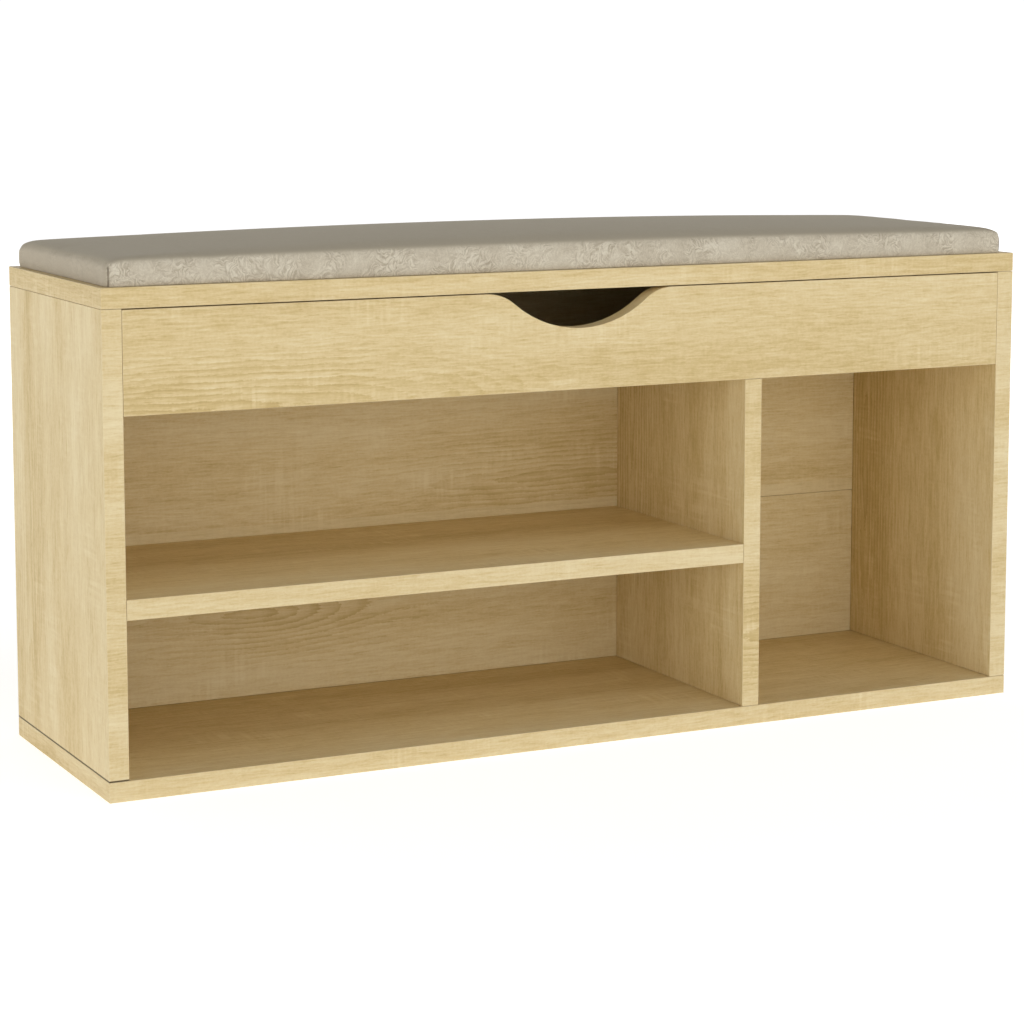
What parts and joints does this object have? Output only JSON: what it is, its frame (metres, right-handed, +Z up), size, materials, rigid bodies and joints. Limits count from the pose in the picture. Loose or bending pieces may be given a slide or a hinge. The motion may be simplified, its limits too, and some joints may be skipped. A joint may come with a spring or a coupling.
{
  "type": "entryway bench",
  "caption": "Low wooden entryway bench with a hinged lid over a storage box, a padded seat cushion, a finger notch in its front apron and open shoe bays below.",
  "frame": {"origin": "on the floor under the middle of the bench, at the centre of the bottom panel's underside", "axes": "+X along the bench to its right end as seen from the front, +Y to the rear, so the front faces -Y, +Z up"},
  "size_m": [1.04, 0.3045, 0.5298],
  "materials": {
    "oak_board": "satin",
    "steel_fittings": "satin",
    "zinc_cams": "matte",
    "beech_dowels": "matte",
    "bumper_rubber": "matte",
    "hook_strip": "matte",
    "cushion_cloth": "matte",
    "base_cloth": "matte",
    "foam": "matte",
    "zip_tape": "matte",
    "zip_metal": "satin"
  },
  "bodies": {
    "carcass": {"bottom_panel": "oak_board", "left_side_panel": "oak_board", "right_side_panel": "oak_board", "divider_panel": "oak_board", "shelf_panel": "oak_board", "storage_floor": "oak_board", "front_apron": "oak_board", "upper_back_panel": "oak_board", "lower_back_panel": "oak_board", "base_screw_left_front": "steel_fittings", "base_screw_left_rear": "steel_fittings", "base_screw_divider_front": "steel_fittings", "base_screw_divider_rear": "steel_fittings", "base_screw_right_front": "steel_fittings", "base_screw_right_rear": "steel_fittings", "shelf_cam_left": "zinc_cams", "shelf_cam_right": "zinc_cams", "shelf_bolt_left": "steel_fittings", "shelf_bolt_right": "steel_fittings", "shelf_dowel_left": "beech_dowels", "shelf_dowel_right": "beech_dowels", "floor_cam_left_front": "zinc_cams", "floor_cam_left_rear": "zinc_cams", "floor_cam_right_front": "zinc_cams", "floor_cam_right_rear": "zinc_cams", "floor_bolt_left_front": "steel_fittings", "floor_bolt_left_rear": "steel_fittings", "floor_bolt_right_front": "steel_fittings", "floor_bolt_right_rear": "steel_fittings", "apron_dowel_left": "beech_dowels", "apron_dowel_right": "beech_dowels", "upper_back_dowel_left": "beech_dowels", "upper_back_dowel_right": "beech_dowels", "lower_back_dowel_left": "beech_dowels", "lower_back_dowel_right": "beech_dowels", "hinge_left_lower_leaf": "steel_fittings", "hinge_right_lower_leaf": "steel_fittings", "hinge_left_pin": "steel_fittings", "hinge_right_pin": "steel_fittings", "hinge_left_lower_screw_1": "steel_fittings", "hinge_left_lower_screw_2": "steel_fittings", "hinge_right_lower_screw_1": "steel_fittings", "hinge_right_lower_screw_2": "steel_fittings", "bumper_left": "bumper_rubber", "bumper_right": "bumper_rubber"},
    "lid": {"lid_panel": "oak_board", "hinge_left_upper_leaf": "steel_fittings", "hinge_right_upper_leaf": "steel_fittings", "hinge_left_upper_screw_1": "steel_fittings", "hinge_left_upper_screw_2": "steel_fittings", "hinge_right_upper_screw_1": "steel_fittings", "hinge_right_upper_screw_2": "steel_fittings", "hook_strip_left": "hook_strip", "hook_strip_right": "hook_strip", "cushion_cover": "cushion_cloth", "cushion_base_cloth": "base_cloth", "cushion_foam": "foam", "cushion_zip": "zip_tape"},
    "zip_slider": {"zip_slider": "zip_metal"}
  },
  "joints": [
    {"name": "lid_hinge", "type": "hinge", "parent": "carcass", "child": "lid", "pos_m": [0, 0.1524, 0.47055], "axis": [-1, 0, 0], "range_deg": [0, 100]},
    {"name": "zip_travel", "type": "slide", "parent": "lid", "child": "zip_slider", "axis": [-1, 0, 0], "range_m": [0, 0.586]}
  ]
}
